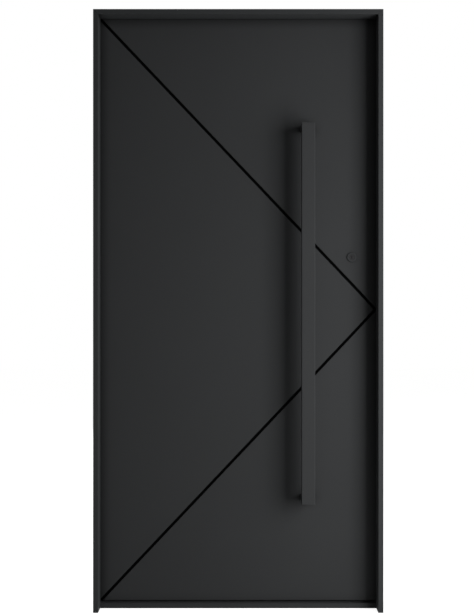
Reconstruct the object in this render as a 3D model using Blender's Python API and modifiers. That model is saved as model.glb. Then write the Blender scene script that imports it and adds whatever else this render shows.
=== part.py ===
"""An aluminium front door: frame, threshold and one inward-opening leaf with a V-shaped groove.

Metres, +Z up. Seen from outside +X is right and +Y leads into the house. The origin is the
middle of the threshold's underside, at floor level.
"""

import math

import bmesh
import bpy
from mathutils import Matrix, Vector

# Frame
FRAME_WIDTH = 1.010
FRAME_HEIGHT = 2.100
STOP_WIDTH = 0.0175
STOP_DEPTH = 0.052
SHELL_WALL = 0.002
SHELL_EDGE_RADIUS = 0.0008
BACK_THICKNESS = 0.007
ANCHOR_CHANNEL_DEPTH = 0.003
ANCHOR_CHANNEL_WIDTH = 0.020
BREAK_DEPTH = 0.008
LIP_THICKNESS = 0.0017
LIP_EDGE_RADIUS = 0.0007

# Clearances
SEAT_GAP = 0.0003
RUNNING_GAP = 0.005
EDGE_GAP = 0.0055

# Threshold
THRESHOLD_HEIGHT = 0.018
THRESHOLD_SETBACK = 0.046
THRESHOLD_FALL = 0.001
THRESHOLD_OUTER_DEPTH = 0.025
THRESHOLD_BREAK_DEPTH = 0.012

# Leaf
LEAF_THICKNESS = 0.077
TRAY_DEPTH = 0.008
TRAY_FOLD_RADIUS = 0.0012
INSIDE_SHEET = 0.0025
LEAF_PROFILE_WIDTH = 0.055
LEAF_PROFILE_WALL = 0.0025
LEAF_EDGE_WALL = 0.0045
DROP_SEAL_WIDTH = 0.014
DROP_SEAL_HEIGHT = 0.010

# Groove across the outside
GROOVE_WIDTH = 0.0098
GROOVE_DEPTH = 0.0066
CHANNEL_WALL = 0.0008

# Hinges
HINGE_HEIGHT = 0.100
HINGE_FLAP_WIDTH = 0.035
HINGE_FLAP_THICKNESS = 0.003
KNUCKLE_RADIUS = 0.007
KNUCKLE_SHARE = 0.28
KNUCKLE_STANDOFF = 0.001
PIN_RADIUS = 0.004
PIN_CLEARANCE = 0.0003
FLAP_ROOT_DEPTH = 0.0042
PIN_CAP_RADIUS = 0.0062
PIN_CAP_HEIGHT = 0.0025
PIN_CAP_EDGE_RADIUS = 0.0012
HINGE_END_DISTANCE = 0.215

# Outside pull
PULL_LENGTH = 1.325
PULL_WIDTH = 0.046
PULL_DEPTH = 0.026
PULL_WALL = 0.003
PULL_EDGE_RADIUS = 0.0015
PULL_EDGE_DISTANCE = 0.2492
PULL_BELOW_POINT = 0.0145
PULL_CAP = 0.003
HAND_GAP = 0.045
STANDOFF_HEIGHT = 0.022

# Lock, placed from the leaf's edge and from the point of the groove
LOCK_EDGE_DISTANCE = 0.090
LOCK_ABOVE_POINT = 0.1845
ROSETTE_RADIUS = 0.0165
ROSETTE_HEIGHT = 0.003
ROSETTE_EDGE_RADIUS = 0.001
CYLINDER_RADIUS = 0.011
CYLINDER_PROUD = 0.0022
PLUG_RADIUS = 0.0077
PLUG_DEPTH = 0.012
KEYWAY_WIDTH = 0.0022
KEYWAY_HEIGHT = 0.0095
KEYWAY_DEPTH = 0.0084
FACEPLATE_WIDTH = 0.024
FACEPLATE_LENGTH = 0.280
FACEPLATE_THICKNESS = 0.003
BOLT_LENGTH = 0.030
BOLT_CLEARANCE = 0.0004
LATCH_WIDTH = 0.012
LATCH_HEIGHT = 0.032
DEAD_BOLT_WIDTH = 0.014
DEAD_BOLT_HEIGHT = 0.034

# Inside lever
LEVER_BELOW_LOCK = 0.092
LEVER_ROSETTE_RADIUS = 0.026
LEVER_ROSETTE_HEIGHT = 0.008
LEVER_RADIUS = 0.0095
LEVER_REACH = 0.055
LEVER_LENGTH = 0.130
LEVER_BEND_RADIUS = 0.016

# Fineness of the shapes
CIRCLE_SIDES = 48
SMALL_CIRCLE_SIDES = 32
COVER_EDGE_STEPS = 4
LEVER_BEND_STEPS = 6
ROUND_PROFILE = 0.5
WELD_DISTANCE = 0.00001
SHARP_ANGLE = math.radians(35)

# Sizes that follow from the ones above
reveal_depth = STOP_DEPTH + SEAT_GAP + LIP_THICKNESS + RUNNING_GAP
frame_depth = reveal_depth + LEAF_THICKNESS
threshold_depth = frame_depth - THRESHOLD_SETBACK
front_y = -(THRESHOLD_SETBACK + threshold_depth / 2)
leaf_front_y = front_y + reveal_depth
back_y = front_y + frame_depth
side_x = FRAME_WIDTH / 2

leaf_edge_x = side_x - BACK_THICKNESS - EDGE_GAP
leaf_bottom_z = THRESHOLD_HEIGHT + EDGE_GAP
leaf_top_z = FRAME_HEIGHT - BACK_THICKNESS - EDGE_GAP
leaf_width = 2 * leaf_edge_x
leaf_height = leaf_top_z - leaf_bottom_z
leaf_middle_z = (leaf_top_z + leaf_bottom_z) / 2
profile_front_y = leaf_front_y + TRAY_DEPTH + SEAT_GAP
profile_back_y = back_y - INSIDE_SHEET - SEAT_GAP
profile_depth = profile_back_y - profile_front_y
edge_middle_y = (profile_front_y + profile_back_y) / 2

hinge_x = -(leaf_edge_x + EDGE_GAP / 2)
hinge_y = back_y + KNUCKLE_STANDOFF + KNUCKLE_RADIUS

pull_x = leaf_edge_x - PULL_EDGE_DISTANCE
pull_middle_z = leaf_middle_z - PULL_BELOW_POINT
lock_x = leaf_edge_x - LOCK_EDGE_DISTANCE
lock_z = leaf_middle_z + LOCK_ABOVE_POINT
lever_z = lock_z - LEVER_BELOW_LOCK

PAINT = ("painted aluminium", "383A3B", 0.45, 0.0)
BLACK_PAINT = ("black coated channel", "0B0B0C", 0.6, 0.0)
RUBBER = ("black sealing rubber", "141414", 0.8, 0.0)
PLASTIC = ("black insulating plastic", "1B1B1C", 0.6, 0.0)
FOAM = ("insulating foam", "C9B98A", 0.9, 0.0)
STEEL = ("brushed stainless steel", "A9A9A6", 0.35, 1.0)
DARK_NICKEL = ("black nickel plated brass", "4A4A49", 0.3, 1.0)


def start_scene():
    """Clears the scene and adds the collections for the door and for its cutters."""
    for thing in list(bpy.data.objects):
        bpy.data.objects.remove(thing)
    door = bpy.data.collections.new("aluminium_front_door")
    helpers = bpy.data.collections.new("cutters")
    bpy.context.scene.collection.children.link(door)
    bpy.context.scene.collection.children.link(helpers)
    return door, helpers


door_parts, cutters = start_scene()
leaf_axis = bpy.data.objects.new("leaf_hinge_axis", None)
leaf_axis.location = (hinge_x, hinge_y, 0)
door_parts.objects.link(leaf_axis)


def finish_named(kind):
    """The Principled material of one finish, made once."""
    name, colour, roughness, metallic = kind
    material = bpy.data.materials.get(name)
    if material:
        return material
    material = bpy.data.materials.new(name)
    material.use_nodes = True
    shader = material.node_tree.nodes["Principled BSDF"]
    channels = [int(colour[i : i + 2], 16) / 255 for i in (0, 2, 4)]
    linear = [c / 12.92 if c < 0.04045 else ((c + 0.055) / 1.055) ** 2.4 for c in channels]
    shader.inputs["Base Color"].default_value = (*linear, 1)
    shader.inputs["Roughness"].default_value = roughness
    shader.inputs["Metallic"].default_value = metallic
    return material


def add_part(name, mesh, finish, place=(0, 0, 0), turn=(0, 0, 0), on_leaf=False):
    """Adds one sub-part; a piece of the leaf is parented to the hinge axis."""
    part = bpy.data.objects.new(name, mesh)
    mesh.name = name
    mesh.materials.clear()
    mesh.materials.append(finish_named(finish))
    part.rotation_euler = turn
    part.location = place
    if on_leaf:
        part.parent = leaf_axis
        part.location = Vector(place) - leaf_axis.location
    door_parts.objects.link(part)
    return part


def add_cutter(name, mesh, place=(0, 0, 0), turn=(0, 0, 0)):
    """A hidden solid for a Boolean, in world coordinates."""
    cutter = bpy.data.objects.new(name, mesh)
    cutter.location = place
    cutter.rotation_euler = turn
    cutter.hide_render = True
    cutter.display_type = "WIRE"
    cutters.objects.link(cutter)
    return cutter


def combine(part, other, operation="DIFFERENCE"):
    """An exact Boolean of a part with a hidden solid."""
    change = part.modifiers.new(other.name, "BOOLEAN")
    change.operation = operation
    change.solver = "EXACT"
    change.object = other


def mesh_from(shape, name):
    """The mesh of an edited shape, with its faces pointing out."""
    bmesh.ops.recalc_face_normals(shape, faces=shape.faces)
    mesh = bpy.data.meshes.new(name)
    shape.to_mesh(mesh)
    shape.free()
    return mesh


def rounded(corners, radius, steps=3):
    """An outline through the corners, with those in the radius table rounded by arcs."""
    outline = []
    for i, corner in enumerate(corners):
        size = radius.get(i, 0) if isinstance(radius, dict) else radius
        if size <= 0:
            outline.append(corner)
            continue
        point = Vector(corner)
        before = (Vector(corners[i - 1]) - point).normalized()
        after = (Vector(corners[(i + 1) % len(corners)]) - point).normalized()
        half = before.angle(after) / 2
        centre = point + (before + after).normalized() * size / math.sin(half)
        start = point + before * size / math.tan(half) - centre
        end = point + after * size / math.tan(half) - centre
        sweep = start.angle_signed(end)
        for step in range(steps + 1):
            arm = start.copy()
            arm.rotate(Matrix.Rotation(-sweep * step / steps, 2))
            outline.append(tuple(centre + arm))
    return outline


def rectangle(x0, y0, x1, y1):
    return [(x0, y0), (x1, y0), (x1, y1), (x0, y1)]


def evaluated_shape(holder):
    """The welded shape that an object's curve or modifiers make; the object is then removed."""
    door_parts.objects.link(holder)
    graph = bpy.context.evaluated_depsgraph_get()
    drawn = bpy.data.meshes.new_from_object(holder.evaluated_get(graph))
    bpy.data.objects.remove(holder)
    shape = bmesh.new()
    shape.from_mesh(drawn)
    bpy.data.meshes.remove(drawn)
    bmesh.ops.remove_doubles(shape, verts=shape.verts, dist=WELD_DISTANCE)
    return shape


def extruded(name, outlines, length):
    """A flat outline, with any holes, drawn along +Z from 0 to its length."""
    curve = bpy.data.curves.new(name, "CURVE")
    curve.dimensions = "2D"
    curve.fill_mode = "BOTH"
    curve.extrude = length / 2
    for outline in outlines:
        spline = curve.splines.new("POLY")
        spline.points.add(len(outline) - 1)
        for point, (x, y) in zip(spline.points, outline):
            point.co = (x, y, 0, 1)
        spline.use_cyclic_u = True
    shape = evaluated_shape(bpy.data.objects.new(name, curve))
    bmesh.ops.translate(shape, verts=shape.verts, vec=(0, 0, length / 2))
    return mesh_from(shape, name)


def mitred(mesh, length, at_start, at_end):
    """Slants an extrusion's ends at 45 degrees, shortest on the side away from local X = 0."""
    for vertex in mesh.vertices:
        inward = abs(vertex.co.x) + SEAT_GAP / math.sqrt(2)
        if vertex.co.z < length / 2:
            vertex.co.z += inward * at_start
        else:
            vertex.co.z -= inward * at_end
    return mesh


def block(name, low, high, edge_radius=0, segments=2):
    """A box between two corners, centred on its own origin, and that origin's place."""
    low, high = Vector(low), Vector(high)
    shape = bmesh.new()
    bmesh.ops.create_cube(shape, size=1)
    bmesh.ops.scale(shape, verts=shape.verts, vec=high - low)
    if edge_radius > 0:
        bmesh.ops.bevel(
            shape,
            geom=shape.edges,
            offset=edge_radius,
            segments=segments,
            profile=ROUND_PROFILE,
            affect="EDGES",
        )
    return mesh_from(shape, name), (low + high) / 2


def turned(name, profile, sides=CIRCLE_SIDES):
    """A profile of radius and height points, turned about local Z by a Screw modifier.

    It runs down the outer side, and closes on the axis or, round a bore, on its own start.
    """
    outline = bpy.data.meshes.new(name)
    points = [(radius, 0, height) for radius, height in profile]
    edges = [(i, i + 1) for i in range(len(points) - 1)]
    if profile[0][0] > 0:
        edges.append((len(points) - 1, 0))
    outline.from_pydata(points, edges, [])
    holder = bpy.data.objects.new(name, outline)
    screw = holder.modifiers.new("turn", "SCREW")
    screw.steps = sides
    screw.render_steps = sides
    screw.use_merge_vertices = True
    screw.merge_threshold = WELD_DISTANCE
    mesh = mesh_from(evaluated_shape(holder), name)
    shade_round(mesh)
    return mesh


def cover_profile(radius, bore, height, edge):
    """Radius and height points of a flat cover with a rounded outer edge."""
    arc = [math.pi / 2 * i / COVER_EDGE_STEPS for i in range(COVER_EDGE_STEPS + 1)]
    crown = [(radius - edge + edge * math.sin(t), height - edge + edge * math.cos(t)) for t in arc]
    return [(bore, height), *crown, (radius, 0), (bore, 0)]


def shade_round(mesh):
    """Smooth shading with the true edges kept sharp."""
    mesh.shade_smooth()
    mesh.set_sharp_from_angle(angle=SHARP_ANGLE)


def rod(name, radius, length, sides=SMALL_CIRCLE_SIDES):
    """A plain cylinder from 0 to its length along local Z."""
    shape = bmesh.new()
    bmesh.ops.create_cone(
        shape, cap_ends=True, segments=sides, radius1=radius, radius2=radius, depth=length
    )
    bmesh.ops.translate(shape, verts=shape.verts, vec=(0, 0, length / 2))
    mesh = mesh_from(shape, name)
    shade_round(mesh)
    return mesh


# Directions of an extrusion: upright, or lying along +X with its outline's X up or down
UPRIGHT = (0, 0, 0)
ALONG_X = (0, math.pi / 2, 0)
ACROSS = (math.pi / 2, 0, math.pi / 2)
OUTWARD = (math.pi / 2, 0, 0)
INWARD = (-math.pi / 2, 0, 0)
UPSIDE_DOWN = (math.pi, 0, 0)


def mirrored_outline(outline, side):
    return [(side * x, y) for x, y in outline]


def frame_members(names, outlines, finish):
    """The same section as hinge jamb, lock jamb and head, mitred at the upper corners."""
    for name, side in zip(names, (1, -1, 1)):
        loops = [mirrored_outline(outline, side) for outline in outlines]
        if name == names[2]:
            mesh = mitred(extruded(name, loops, FRAME_WIDTH), FRAME_WIDTH, 1, 1)
            add_part(name, mesh, finish, (-side_x, front_y, FRAME_HEIGHT), ALONG_X)
        else:
            mesh = mitred(extruded(name, loops, FRAME_HEIGHT), FRAME_HEIGHT, 0, 1)
            add_part(name, mesh, finish, (-side * side_x, front_y, 0), UPRIGHT)


def build_frame():
    """Outer shells with the stop, black parting strips with the lip, and inner shells."""
    outer = rounded(rectangle(0, 0, STOP_WIDTH, STOP_DEPTH), {0: SHELL_EDGE_RADIUS, 1: SHELL_EDGE_RADIUS})
    chamber = rectangle(
        SHELL_WALL, SHELL_WALL, STOP_WIDTH - SHELL_WALL, STOP_DEPTH - SHELL_WALL
    )
    frame_members(("jamb_hinge_outer", "jamb_lock_outer", "head_outer"), (outer, chamber), PAINT)

    strip_front = STOP_DEPTH + SEAT_GAP
    strip_back = strip_front + BREAK_DEPTH
    lip_back = strip_front + LIP_THICKNESS
    strip_edge = SEAT_GAP
    lip_edge = STOP_WIDTH - SHELL_EDGE_RADIUS
    strip = rounded(
        [
            (strip_edge, strip_front),
            (lip_edge, strip_front),
            (lip_edge, lip_back),
            (BACK_THICKNESS, lip_back),
            (BACK_THICKNESS, strip_back),
            (strip_edge, strip_back),
        ],
        {2: LIP_EDGE_RADIUS},
        2,
    )
    frame_members(("seal_hinge_jamb", "seal_lock_jamb", "seal_head"), (strip,), RUBBER)

    inner_front = strip_back + SEAT_GAP
    channel_front = inner_front + ANCHOR_CHANNEL_DEPTH
    channel_back = channel_front + ANCHOR_CHANNEL_WIDTH
    inner = [
        (0, inner_front),
        (BACK_THICKNESS, inner_front),
        (BACK_THICKNESS, frame_depth),
        (0, frame_depth),
        (0, channel_back),
        (ANCHOR_CHANNEL_DEPTH, channel_back),
        (ANCHOR_CHANNEL_DEPTH, channel_front),
        (0, channel_front),
    ]
    inner = rounded(inner, {2: SHELL_EDGE_RADIUS, 3: SHELL_EDGE_RADIUS})
    frame_members(("jamb_hinge_inner", "jamb_lock_inner", "head_inner"), (inner,), PAINT)


def build_threshold():
    """Two aluminium rails with a plastic break, level with the floor inside the jambs."""
    wide = side_x - BACK_THICKNESS - SEAT_GAP
    narrow = side_x - STOP_WIDTH - SEAT_GAP
    outer_front = -threshold_depth / 2
    outer_back = outer_front + THRESHOLD_OUTER_DEPTH
    break_front = outer_back + SEAT_GAP
    break_back = outer_back + THRESHOLD_BREAK_DEPTH
    inner_front = break_back + SEAT_GAP
    inner_back = threshold_depth / 2
    front_height = THRESHOLD_HEIGHT - THRESHOLD_FALL

    outer = rounded(
        [(outer_front, 0), (outer_back, 0), (outer_back, THRESHOLD_HEIGHT), (outer_front, front_height)],
        {3: SHELL_EDGE_RADIUS},
    )
    outer_chamber = rectangle(
        outer_front + SHELL_WALL, SHELL_WALL, outer_back - SHELL_WALL, front_height - SHELL_WALL
    )
    rail = add_part(
        "threshold_outer",
        extruded("threshold_outer", (outer, outer_chamber), 2 * wide),
        PAINT,
        (-wide, 0, 0),
        ACROSS,
    )
    notch_back = front_y + STOP_DEPTH + LIP_THICKNESS + 2 * SEAT_GAP
    margin = STOP_WIDTH
    for name, side in (("left", -1), ("right", 1)):
        mesh, centre = block(
            "threshold_notch_" + name,
            (min(side * narrow, side * (wide + margin)), outer_front - margin, -margin),
            (max(side * narrow, side * (wide + margin)), notch_back, THRESHOLD_HEIGHT + margin),
        )
        combine(rail, add_cutter("threshold_notch_" + name, mesh, centre))

    middle = rectangle(break_front, 0, break_back, THRESHOLD_HEIGHT)
    add_part(
        "threshold_break",
        extruded("threshold_break", (middle,), 2 * wide),
        PLASTIC,
        (-wide, 0, 0),
        ACROSS,
    )

    inner = rounded(
        [(inner_front, 0), (inner_back, 0), (inner_back, THRESHOLD_HEIGHT), (inner_front, THRESHOLD_HEIGHT)],
        {2: SHELL_EDGE_RADIUS},
    )
    inner_chamber = rectangle(
        inner_front + SHELL_WALL,
        SHELL_WALL,
        inner_back - SHELL_WALL,
        THRESHOLD_HEIGHT - SHELL_WALL,
    )
    add_part(
        "threshold_inner",
        extruded("threshold_inner", (inner, inner_chamber), 2 * wide),
        PAINT,
        (-wide, 0, 0),
        ACROSS,
    )


def build_leaf_frame():
    """Four hollow profiles mitred round the insulating core."""
    section = rectangle(0, 0, LEAF_PROFILE_WIDTH, profile_depth)
    chamber = rectangle(
        LEAF_EDGE_WALL,
        LEAF_PROFILE_WALL,
        LEAF_PROFILE_WIDTH - LEAF_PROFILE_WALL,
        profile_depth - LEAF_PROFILE_WALL,
    )
    members = (
        ("leaf_stile_hinge", 1, leaf_height, (-leaf_edge_x, leaf_bottom_z), UPRIGHT),
        ("leaf_stile_lock", -1, leaf_height, (leaf_edge_x, leaf_bottom_z), UPRIGHT),
        ("leaf_rail_top", 1, leaf_width, (-leaf_edge_x, leaf_top_z), ALONG_X),
        ("leaf_rail_bottom", -1, leaf_width, (-leaf_edge_x, leaf_bottom_z), ALONG_X),
    )
    built = {}
    for name, side, length, (x, z), turn in members:
        loops = [mirrored_outline(outline, side) for outline in (section, chamber)]
        mesh = mitred(extruded(name, loops, length), length, 1, 1)
        built[name] = add_part(name, mesh, PAINT, (x, profile_front_y, z), turn, on_leaf=True)

    inset = LEAF_PROFILE_WIDTH + SEAT_GAP
    mesh, centre = block(
        "leaf_core",
        (-leaf_edge_x + inset, profile_front_y, leaf_bottom_z + inset),
        (leaf_edge_x - inset, profile_back_y, leaf_top_z - inset),
    )
    built["leaf_core"] = add_part("leaf_core", mesh, FOAM, centre, on_leaf=True)

    mesh, centre = block(
        "panel_inside",
        (-leaf_edge_x, back_y - INSIDE_SHEET, leaf_bottom_z),
        (leaf_edge_x, back_y, leaf_top_z),
    )
    built["panel_inside"] = add_part("panel_inside", mesh, PAINT, centre, on_leaf=True)

    seal_low = (-leaf_edge_x + inset, edge_middle_y - DROP_SEAL_WIDTH / 2, leaf_bottom_z)
    seal_high = (leaf_edge_x - inset, edge_middle_y + DROP_SEAL_WIDTH / 2, leaf_bottom_z + DROP_SEAL_HEIGHT)
    mesh, centre = block("drop_seal", seal_low, seal_high)
    add_part("drop_seal", mesh, RUBBER, centre, on_leaf=True)
    gap = Vector((SEAT_GAP, SEAT_GAP, SEAT_GAP))
    mesh, centre = block("drop_seal_slot", Vector(seal_low) - gap, Vector(seal_high) + gap)
    combine(built["leaf_rail_bottom"], add_cutter("drop_seal_slot", mesh, centre))
    return built


def groove_lines():
    """The point of the groove and its two outer ends, as places on the outside of the leaf."""
    visible_x = side_x - STOP_WIDTH
    visible_top_z = FRAME_HEIGHT - STOP_WIDTH
    point = Vector((visible_x, leaf_middle_z))
    upper_end = Vector((-visible_x, visible_top_z))
    lower_end = Vector((-visible_x, leaf_bottom_z))
    return point, upper_end, lower_end


def build_panels():
    """Three folded trays, cut from the leaf's outline along the edges of the groove."""
    point, upper_end, lower_end = groove_lines()
    upper_way = (upper_end - point).normalized()
    lower_way = (lower_end - point).normalized()
    upper_side = Vector((-upper_way.y, upper_way.x))
    lower_side = Vector((-lower_way.y, lower_way.x))
    if upper_side.y < 0:
        upper_side.negate()
    if lower_side.y < 0:
        lower_side.negate()
    half = GROOVE_WIDTH / 2
    cuts = {
        "panel_left": ((point - upper_side * half, upper_side), (point + lower_side * half, -lower_side)),
        "panel_upper": ((point + upper_side * half, -upper_side),),
        "panel_lower": ((point - lower_side * half, lower_side),),
    }
    panels = {}
    for name, planes in cuts.items():
        shape = bmesh.new()
        bmesh.ops.create_cube(shape, size=1)
        bmesh.ops.scale(shape, verts=shape.verts, vec=(leaf_width, TRAY_DEPTH, leaf_height))
        for place, away in planes:
            cut = bmesh.ops.bisect_plane(
                shape,
                geom=shape.verts[:] + shape.edges[:] + shape.faces[:],
                plane_co=(place.x, 0, place.y - leaf_middle_z),
                plane_no=(away.x, 0, away.y),
                clear_outer=True,
            )
            open_edges = [e for e in cut["geom_cut"] if isinstance(e, bmesh.types.BMEdge)]
            bmesh.ops.edgeloop_fill(shape, edges=open_edges)
        face_y = -TRAY_DEPTH / 2 + WELD_DISTANCE
        front_edges = [edge for edge in shape.edges if all(v.co.y < face_y for v in edge.verts)]
        bmesh.ops.bevel(
            shape,
            geom=front_edges,
            offset=TRAY_FOLD_RADIUS,
            segments=2,
            profile=ROUND_PROFILE,
            affect="EDGES",
        )
        centre = (0, leaf_front_y + TRAY_DEPTH / 2, leaf_middle_z)
        panels[name] = add_part(name, mesh_from(shape, name), PAINT, centre, on_leaf=True)
    return panels


def build_groove_channels():
    """Black U channels that line the groove, mitred on the level of its point."""
    point, upper_end, lower_end = groove_lines()
    half = GROOVE_WIDTH / 2 - SEAT_GAP
    base_y = leaf_front_y + TRAY_DEPTH - SEAT_GAP
    top_y = leaf_front_y + TRAY_FOLD_RADIUS
    floor_y = leaf_front_y + GROOVE_DEPTH
    section = [
        (-half, base_y),
        (half, base_y),
        (half, top_y),
        (half - CHANNEL_WALL, top_y),
        (half - CHANNEL_WALL, floor_y),
        (-half + CHANNEL_WALL, floor_y),
        (-half + CHANNEL_WALL, top_y),
        (-half, top_y),
    ]
    for name, end, keep in (
        ("groove_channel_upper", upper_end, 1),
        ("groove_channel_lower", lower_end, -1),
    ):
        way = end - point
        spare = 2 * GROOVE_WIDTH
        length = way.length + 2 * spare
        mesh = extruded(name, (section,), length)
        slope = math.atan2(way.x, way.y)
        start = point - way.normalized() * spare
        channel = add_part(name, mesh, BLACK_PAINT, (start.x, 0, start.y), (0, slope, 0), on_leaf=True)
        low_z = leaf_middle_z + SEAT_GAP / 2 if keep > 0 else leaf_bottom_z
        high_z = leaf_top_z if keep > 0 else leaf_middle_z - SEAT_GAP / 2
        mesh, centre = block(
            name + "_ends",
            (-leaf_edge_x, leaf_front_y - spare, low_z),
            (leaf_edge_x, base_y + spare, high_z),
        )
        combine(channel, add_cutter(name + "_ends", mesh, centre), "INTERSECT")


def hinge_levels():
    """Heights of the three hinges' middles."""
    lower = leaf_bottom_z + HINGE_END_DISTANCE
    upper = leaf_top_z - HINGE_END_DISTANCE
    return (("lower", lower), ("middle", (lower + upper) / 2), ("upper", upper))


def build_hinges(leaf, frame_side, inside_sheet):
    """Butt hinges whose flaps lie in the gap and whose knuckles stand proud inside."""
    leaf_face = EDGE_GAP / 2
    plate_near = -(hinge_y - back_y)
    plate_far = plate_near - HINGE_FLAP_WIDTH
    tongue_end = FLAP_ROOT_DEPTH - KNUCKLE_RADIUS
    end_height = HINGE_HEIGHT * KNUCKLE_SHARE
    cap_profile = cover_profile(PIN_CAP_RADIUS, 0, 2 * PIN_CAP_HEIGHT, PIN_CAP_EDGE_RADIUS)
    gap = SEAT_GAP
    for name, level in hinge_levels():
        bottom = level - HINGE_HEIGHT / 2
        top = level + HINGE_HEIGHT / 2
        knuckles = {
            1: ((bottom + end_height + gap, HINGE_HEIGHT - 2 * end_height - 2 * gap),),
            -1: ((bottom, end_height), (top - end_height, end_height)),
        }
        for side, body in ((1, "hinge_leaf_"), (-1, "hinge_frame_")):
            near, far = side * leaf_face, side * (leaf_face + HINGE_FLAP_THICKNESS)
            plate = rectangle(near, plate_far, far, plate_near)
            mesh = extruded(body + name, (plate,), HINGE_HEIGHT)
            half = add_part(
                body + name, mesh, STEEL, (hinge_x, hinge_y, bottom), UPRIGHT, on_leaf=side > 0
            )
            for index, (start, height) in enumerate(knuckles[side]):
                label = f"{body}{name}_knuckle_{index}"
                tongue = rectangle(near, plate_near - HINGE_FLAP_THICKNESS, far, tongue_end)
                place = (hinge_x, hinge_y, start)
                arm = extruded(label + "_arm", (tongue,), height)
                barrel = rod(label, KNUCKLE_RADIUS, height)
                combine(half, add_cutter(label + "_arm", arm, place), "UNION")
                combine(half, add_cutter(label, barrel, place), "UNION")
            if side > 0:
                label = f"{body}{name}_bore"
                bore = rod(label, PIN_RADIUS + PIN_CLEARANCE, 2 * HINGE_HEIGHT)
                place = (hinge_x, hinge_y, bottom - HINGE_HEIGHT / 2)
                combine(half, add_cutter(label, bore, place))
            else:
                label = f"{body}{name}_pin"
                pin = rod(label, PIN_RADIUS, HINGE_HEIGHT - end_height)
                place = (hinge_x, hinge_y, bottom + end_height / 2)
                combine(half, add_cutter(label, pin, place), "UNION")
                for end, height, turn in (
                    ("top", top - PIN_CAP_HEIGHT, UPRIGHT),
                    ("bottom", bottom + PIN_CAP_HEIGHT, UPSIDE_DOWN),
                ):
                    label = f"{body}{name}_cap_{end}"
                    cap = turned(label, cap_profile, SMALL_CIRCLE_SIDES)
                    combine(half, add_cutter(label, cap, (hinge_x, hinge_y, height), turn), "UNION")
            x_limits = sorted((hinge_x + near - side * EDGE_GAP / 2, hinge_x + far + side * gap))
            mesh, centre = block(
                body + name + "_recess",
                (x_limits[0], hinge_y + plate_far - gap, bottom - gap),
                (x_limits[1], back_y + KNUCKLE_RADIUS, top + gap),
            )
            recess = add_cutter(body + name + "_recess", mesh, centre)
            if side > 0:
                combine(leaf, recess)
                combine(inside_sheet, recess)
            else:
                combine(frame_side, recess)


def build_pull():
    """A hollow rectangular bar with end caps, on two returns flush with its ends and sides."""
    near_y = leaf_front_y - HAND_GAP
    far_y = near_y - PULL_DEPTH
    left, right = pull_x - PULL_WIDTH / 2, pull_x + PULL_WIDTH / 2
    bottom = pull_middle_z - PULL_LENGTH / 2
    top = pull_middle_z + PULL_LENGTH / 2
    outside = rounded(rectangle(left, far_y, right, near_y), PULL_EDGE_RADIUS)
    inside = rectangle(left + PULL_WALL, far_y + PULL_WALL, right - PULL_WALL, near_y - PULL_WALL)
    tube_length = PULL_LENGTH - 2 * PULL_CAP - 2 * SEAT_GAP
    tube = extruded("pull_bar", (outside, inside), tube_length)
    add_part("pull_bar", tube, PAINT, (0, 0, bottom + PULL_CAP + SEAT_GAP), on_leaf=True)
    for name, start in (("pull_bar_cap_bottom", bottom), ("pull_bar_cap_top", top - PULL_CAP)):
        add_part(name, extruded(name, (outside,), PULL_CAP), PAINT, (0, 0, start), on_leaf=True)
    for name, low in (
        ("pull_standoff_bottom", bottom),
        ("pull_standoff_top", top - STANDOFF_HEIGHT),
    ):
        section = rounded(rectangle(left, low, right, low + STANDOFF_HEIGHT), PULL_EDGE_RADIUS)
        mesh = extruded(name, (section,), HAND_GAP - 2 * SEAT_GAP)
        add_part(name, mesh, PAINT, (0, leaf_front_y - SEAT_GAP, 0), OUTWARD, on_leaf=True)


def build_lock(panel, core, inside_sheet):
    """A round cylinder through the leaf with a cover outside and inside."""
    bore = CYLINDER_RADIUS + SEAT_GAP
    cover = cover_profile(ROSETTE_RADIUS, bore, ROSETTE_HEIGHT, ROSETTE_EDGE_RADIUS)
    add_part(
        "lock_rosette_outside",
        turned("lock_rosette_outside", cover),
        PAINT,
        (lock_x, leaf_front_y - SEAT_GAP, lock_z),
        OUTWARD,
        on_leaf=True,
    )
    add_part(
        "lock_rosette_inside",
        turned("lock_rosette_inside", cover),
        PAINT,
        (lock_x, back_y + SEAT_GAP, lock_z),
        INWARD,
        on_leaf=True,
    )
    cylinder_back = back_y + CYLINDER_PROUD
    cylinder_length = LEAF_THICKNESS + 2 * CYLINDER_PROUD
    cylinder = add_part(
        "lock_cylinder",
        rod("lock_cylinder", CYLINDER_RADIUS, cylinder_length),
        DARK_NICKEL,
        (lock_x, cylinder_back, lock_z),
        OUTWARD,
        on_leaf=True,
    )
    cylinder_front = cylinder_back - cylinder_length
    seat = rod("plug_seat", PLUG_RADIUS + PIN_CLEARANCE, 2 * PLUG_DEPTH)
    combine(cylinder, add_cutter("plug_seat", seat, (lock_x, cylinder_front + PLUG_DEPTH, lock_z), OUTWARD))
    plug = add_part(
        "lock_plug",
        rod("lock_plug", PLUG_RADIUS, PLUG_DEPTH - PIN_CLEARANCE),
        DARK_NICKEL,
        (lock_x, cylinder_front + PLUG_DEPTH - PIN_CLEARANCE, lock_z),
        OUTWARD,
        on_leaf=True,
    )
    for part, name, y_middle in (
        (plug, "keyway_outside", cylinder_front),
        (cylinder, "keyway_inside", cylinder_back),
    ):
        mesh, centre = block(
            name,
            (lock_x - KEYWAY_WIDTH / 2, y_middle - KEYWAY_DEPTH, lock_z - KEYWAY_HEIGHT / 2),
            (lock_x + KEYWAY_WIDTH / 2, y_middle + KEYWAY_DEPTH, lock_z + KEYWAY_HEIGHT / 2),
        )
        combine(part, add_cutter(name, mesh, centre))
    hole = rod("cylinder_hole", bore, 2 * LEAF_THICKNESS)
    through = add_cutter("cylinder_hole", hole, (lock_x, back_y + LEAF_THICKNESS / 2, lock_z), OUTWARD)
    for part in (panel, core, inside_sheet):
        combine(part, through)


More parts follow.
